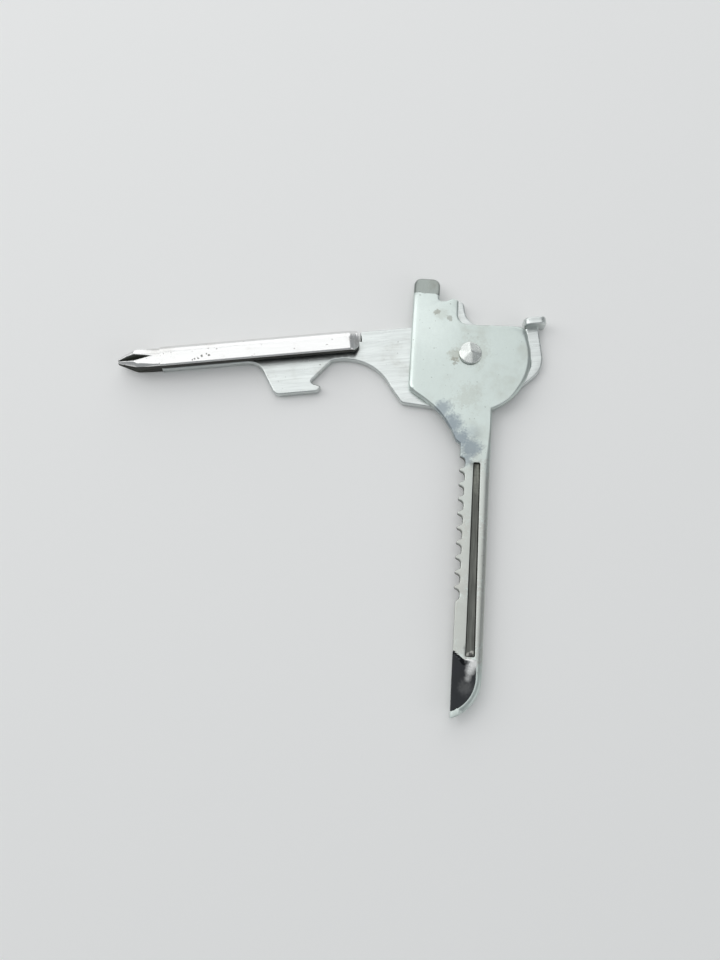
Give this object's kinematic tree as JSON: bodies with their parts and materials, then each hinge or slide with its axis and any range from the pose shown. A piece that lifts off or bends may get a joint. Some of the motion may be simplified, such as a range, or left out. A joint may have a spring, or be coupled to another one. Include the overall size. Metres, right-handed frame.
{
  "type": "key-shaped folding pocket tool",
  "caption": "Key-shaped folding steel pocket tool: a key leaf with a serrated blade and flat driver on a riveted leaf with a cross-head driver, bottle opener and ring hook.",
  "frame": {"origin": "on the rivet's axis, in the plane of the driver leaf's rear face, on which the tool lies", "axes": "+Z along the rivet towards its head, -Y along the blade towards its tip, +X to the round side of the head"},
  "size_m": [0.0644, 0.0657, 0.0034],
  "materials": {
    "satin_steel": "satin",
    "brushed_steel_leaf": "brushed",
    "bright_rivet": "polished"
  },
  "bodies": {
    "driver": {"driver_leaf": "brushed_steel_leaf", "pivot_rivet": "bright_rivet"},
    "key": {"key_leaf": "satin_steel"}
  },
  "joints": [
    {"name": "leaf_pivot", "type": "hinge", "parent": "driver", "child": "key", "pos_m": [0, 0, 0], "axis": [0, 0, 1], "range_deg": [-80.8, 99.2]}
  ]
}
